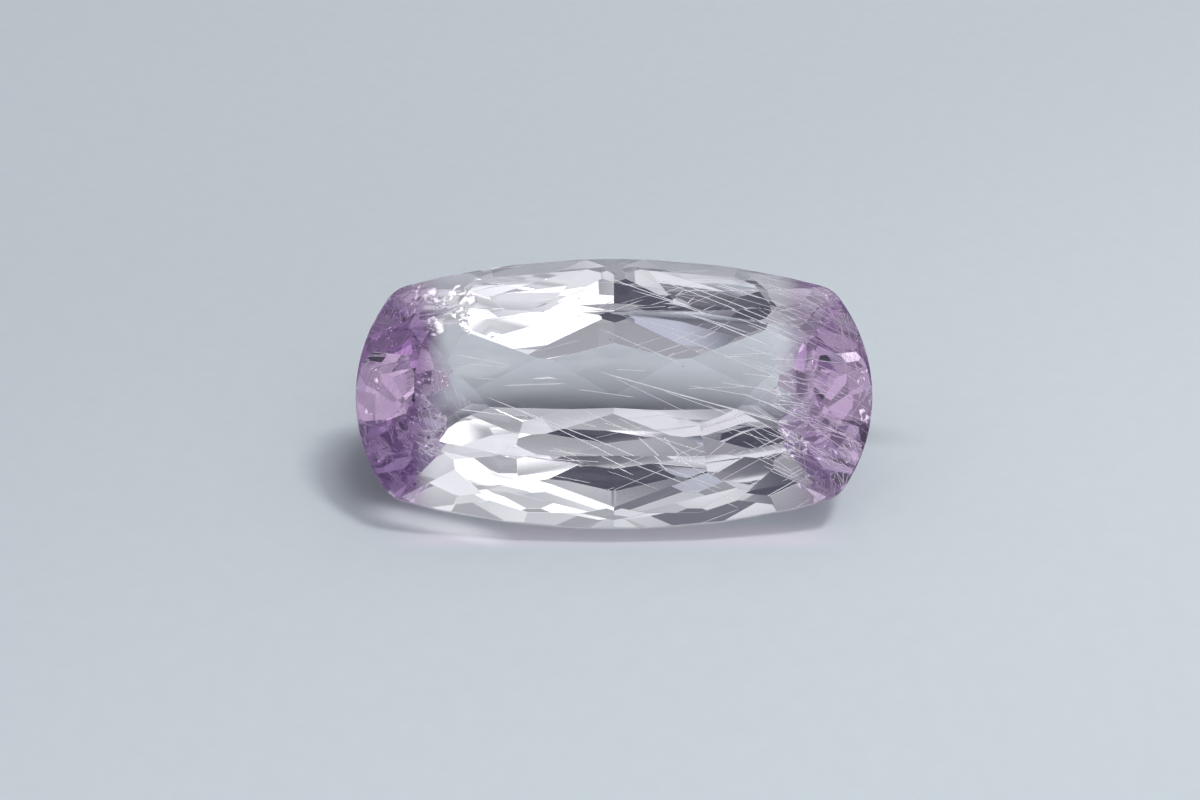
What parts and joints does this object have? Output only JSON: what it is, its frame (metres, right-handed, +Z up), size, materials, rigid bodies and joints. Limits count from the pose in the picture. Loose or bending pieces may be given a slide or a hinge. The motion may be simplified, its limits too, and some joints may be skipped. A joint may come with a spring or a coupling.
{
  "type": "faceted kunzite",
  "caption": "Long cushion-cut clear gemstone with a flat table, a low faceted crown and a keeled pavilion; a loose stone for setting or display.",
  "frame": {"origin": "on the ground under the middle of the stone's bounding box, as the stone lies on one pavilion facet", "axes": "+X along the stone's length, +Z up from the facet it lies on, -Y the side that the table leans towards"},
  "size_m": [0.0246, 0.0102, 0.0095],
  "materials": {
    "kunzite_polished": "polished clear crystal, nearly colourless through the table and pink violet at both ends"
  },
  "bodies": {
    "root": {"kunzite": "kunzite_polished"}
  },
  "joints": []
}
